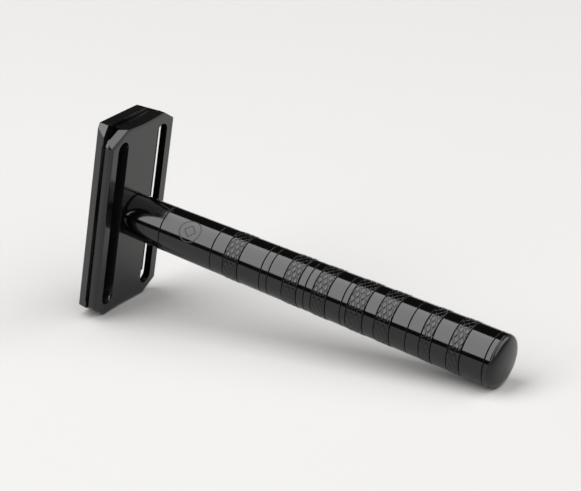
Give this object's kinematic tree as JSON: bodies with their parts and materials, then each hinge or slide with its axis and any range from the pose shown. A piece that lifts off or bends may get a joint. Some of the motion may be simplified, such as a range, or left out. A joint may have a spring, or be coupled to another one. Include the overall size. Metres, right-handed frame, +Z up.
{
  "type": "safety razor",
  "caption": "Three-piece double-edge safety razor with a slotted guard plate, clamping cap and a round handle with ring grooves and grip bands.",
  "frame": {"origin": "on the table, under the middle of the razor's bounding box", "axes": "+X from the head towards the handle's tail, +Y across the head, +Z up; the head stands on one short end and the handle slopes down to the table"},
  "size_m": [0.1018, 0.0238, 0.0455],
  "materials": {
    "base_plate": "satin black coated die-cast zinc",
    "cap_plate": "satin black coated die-cast zinc",
    "post_steel": "turned and threaded stainless steel",
    "blade_steel": "black coated stainless strip",
    "handle_shaft": "gloss black coated brass",
    "insert_brass": "turned brass",
    "end_plug": "satin black coated brass"
  },
  "bodies": {
    "base": {"base_plate": "base_plate"},
    "cap": {"cap_plate": "cap_plate", "cap_post": "post_steel", "cap_pin_1": "post_steel", "cap_pin_2": "post_steel"},
    "blade": {"blade": "blade_steel"},
    "handle": {"handle_shaft": "handle_shaft", "thread_insert": "insert_brass", "end_plug": "end_plug"}
  },
  "joints": [
    {"name": "handle_turn", "type": "hinge", "parent": "base", "child": "handle", "pos_m": [-0.04089, 0, 0.02193], "axis": [0.9842, 0, -0.1772], "range_deg": [0, 2880]},
    {"name": "cap_lift", "type": "slide", "parent": "base", "child": "cap", "axis": [-0.9842, 0, 0.1772], "range_m": [0, 0.0065]},
    {"name": "blade_lift", "type": "slide", "parent": "base", "child": "blade", "axis": [-0.9842, 0, 0.1772], "range_m": [0, 0.0033]}
  ],
  "couplings": [
    {"joint": "cap_lift", "follows": "handle_turn", "m_per_rad": 0.00012732},
    {"joint": "blade_lift", "follows": "handle_turn", "m_per_rad": 0.000063662}
  ]
}
